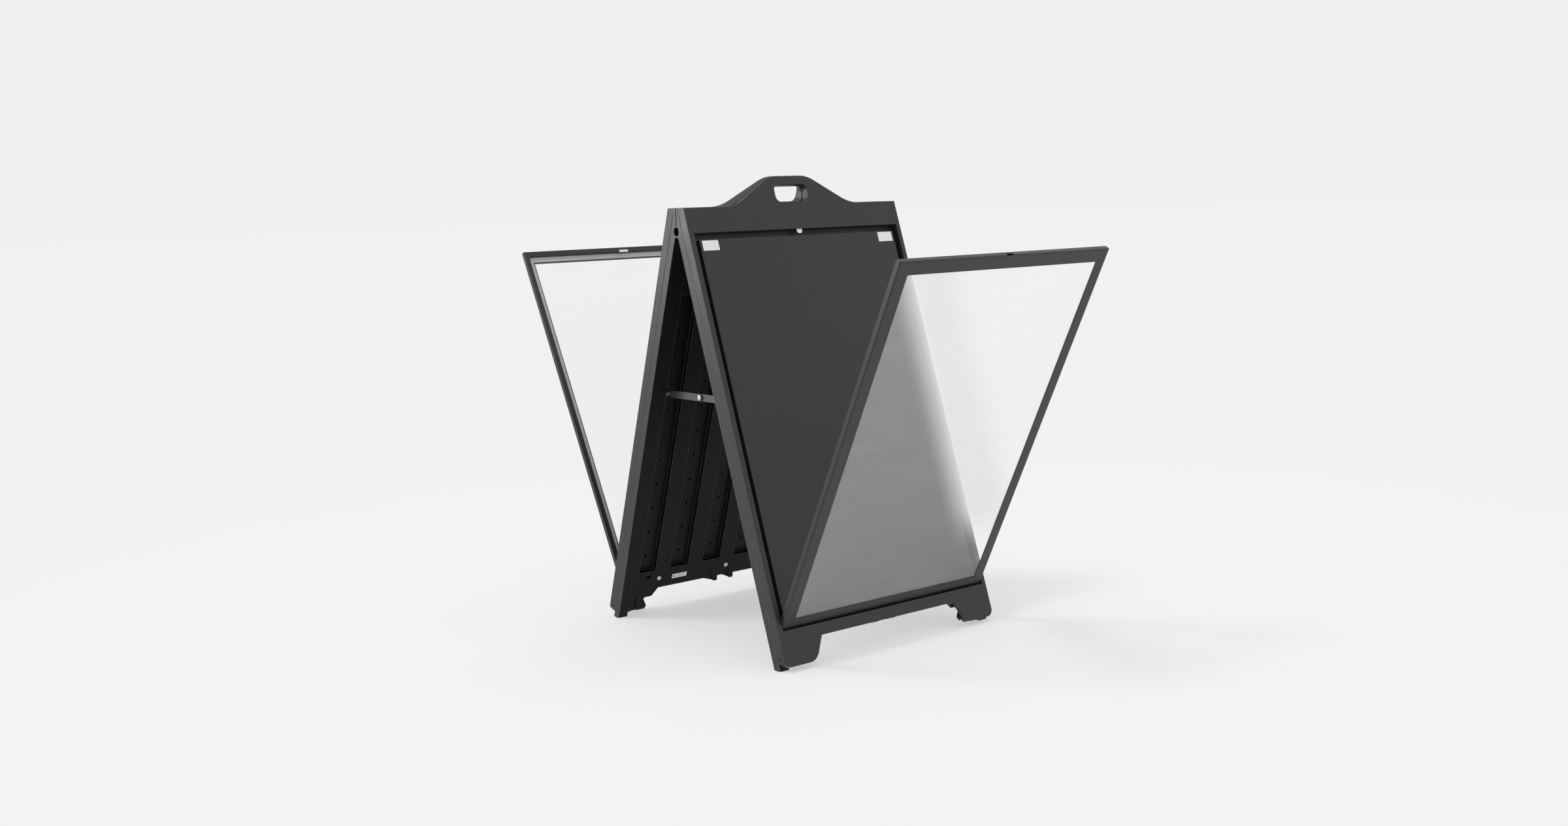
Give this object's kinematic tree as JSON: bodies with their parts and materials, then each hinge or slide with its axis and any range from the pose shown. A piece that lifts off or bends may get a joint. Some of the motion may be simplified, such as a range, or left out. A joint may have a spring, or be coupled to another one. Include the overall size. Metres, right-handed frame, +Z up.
{
  "type": "sandwich board",
  "caption": "Folding pavement sign: moulded boards hinged at the top, locked open by folding stays, each with a clear lens frame that swings out from a poster recess.",
  "frame": {"origin": "on the ground, midway between the two boards and midway across them", "axes": "+X across the board to the right as seen from the front, -Y out of the front face, +Z up"},
  "size_m": [0.648, 1.4726, 1.0891],
  "materials": {
    "board_plastic": "fine moulded grain, satin black",
    "black_plastic": "smooth",
    "pin_black": "smooth",
    "rail_black": "satin black powder coat on aluminium",
    "clear_sheet": "clear flexible plastic lens",
    "strip_grey": "matt glazing tape",
    "pad_white": "woven hook pad",
    "label_paper": "satin",
    "zinc_steel": "zinc plated",
    "bright_steel": "bright",
    "spring_steel": "plain wire",
    "galvanised_strap": "galvanised"
  },
  "bodies": {
    "front_board": {"front_face_shell": "board_plastic", "front_back_shell": "board_plastic", "front_hinge_brackets": "zinc_steel", "front_bracket_screws": "zinc_steel", "front_stay_pivots": "zinc_steel", "front_catch_housing": "black_plastic", "front_catch_spring": "spring_steel", "front_poster_pads": "pad_white", "left_hinge_pin": "pin_black"},
    "front_lens": {"front_lens_bottom_rail": "rail_black", "front_lens_top_rail": "rail_black", "front_lens_left_rail": "rail_black", "front_lens_right_rail": "rail_black", "front_lens_sheet": "clear_sheet", "front_glazing_strip": "strip_grey", "front_corner_keys": "zinc_steel", "front_strike_plate": "bright_steel", "front_hinge_bushes": "black_plastic", "front_hinge_pins": "bright_steel"},
    "front_catch": {"front_catch_tongue": "bright_steel"},
    "rear_board": {"rear_face_shell": "board_plastic", "rear_back_shell": "board_plastic", "rear_hinge_brackets": "zinc_steel", "rear_bracket_screws": "zinc_steel", "rear_stay_pivots": "zinc_steel", "rear_catch_housing": "black_plastic", "rear_catch_spring": "spring_steel", "rear_poster_pads": "pad_white", "right_hinge_pin": "pin_black", "inside_label": "label_paper"},
    "rear_lens": {"rear_lens_bottom_rail": "rail_black", "rear_lens_top_rail": "rail_black", "rear_lens_left_rail": "rail_black", "rear_lens_right_rail": "rail_black", "rear_lens_sheet": "clear_sheet", "rear_glazing_strip": "strip_grey", "rear_corner_keys": "zinc_steel", "rear_strike_plate": "bright_steel", "rear_hinge_bushes": "black_plastic", "rear_hinge_pins": "bright_steel"},
    "rear_catch": {"rear_catch_tongue": "bright_steel"},
    "left_front_stay": {"left_front_link": "galvanised_strap", "left_front_rivet": "bright_steel"},
    "left_rear_stay": {"left_rear_link": "galvanised_strap", "left_rear_rivet": "bright_steel"},
    "right_front_stay": {"right_front_link": "galvanised_strap", "right_front_rivet": "bright_steel"},
    "right_rear_stay": {"right_rear_link": "galvanised_strap", "right_rear_rivet": "bright_steel"}
  },
  "joints": [
    {"name": "fold", "type": "hinge", "parent": "front_board", "child": "rear_board", "pos_m": [0, 0, 0.96689], "axis": [-1, 0, 0], "range_deg": [0, 36]},
    {"name": "front_lens_swing", "type": "hinge", "parent": "front_board", "child": "front_lens", "pos_m": [0, -0.32608, 0.09761], "axis": [-1, 0, 0], "range_deg": [0, 44.6]},
    {"name": "front_catch_slide", "type": "slide", "parent": "front_board", "child": "front_catch", "axis": [0, 0.309, 0.9511], "range_m": [0, 0.0115], "stiffness_N_per_m": 200, "springref_m": -0.008, "deforming": ["front_catch_spring"]},
    {"name": "rear_lens_swing", "type": "hinge", "parent": "rear_board", "child": "rear_lens", "pos_m": [0, 0.32608, 0.09761], "axis": [1, 0, 0], "range_deg": [0, 44.6]},
    {"name": "rear_catch_slide", "type": "slide", "parent": "rear_board", "child": "rear_catch", "axis": [0, -0.309, 0.9511], "range_m": [0, 0.0115], "stiffness_N_per_m": 200, "springref_m": -0.008, "deforming": ["rear_catch_spring"]},
    {"name": "left_front_turn", "type": "hinge", "parent": "front_board", "child": "left_front_stay", "pos_m": [0, -0.13431, 0.57943], "axis": [1, 0, 0], "range_deg": [0, 68.59]},
    {"name": "right_front_turn", "type": "hinge", "parent": "front_board", "child": "right_front_stay", "pos_m": [0, -0.13431, 0.57943], "axis": [1, 0, 0], "range_deg": [0, 68.59]},
    {"name": "left_rear_turn", "type": "hinge", "parent": "rear_board", "child": "left_rear_stay", "pos_m": [0, 0.13431, 0.57943], "axis": [-1, 0, 0], "range_deg": [0, 68.59]},
    {"name": "right_rear_turn", "type": "hinge", "parent": "rear_board", "child": "right_rear_stay", "pos_m": [0, 0.13431, 0.57943], "axis": [-1, 0, 0], "range_deg": [0, 68.59]}
  ],
  "couplings": [
    {"joint": "left_front_turn", "follows": "fold", "ratio": 1.9051},
    {"joint": "right_front_turn", "follows": "fold", "ratio": 1.9051},
    {"joint": "left_rear_turn", "follows": "fold", "ratio": 1.9051},
    {"joint": "right_rear_turn", "follows": "fold", "ratio": 1.9051}
  ]
}
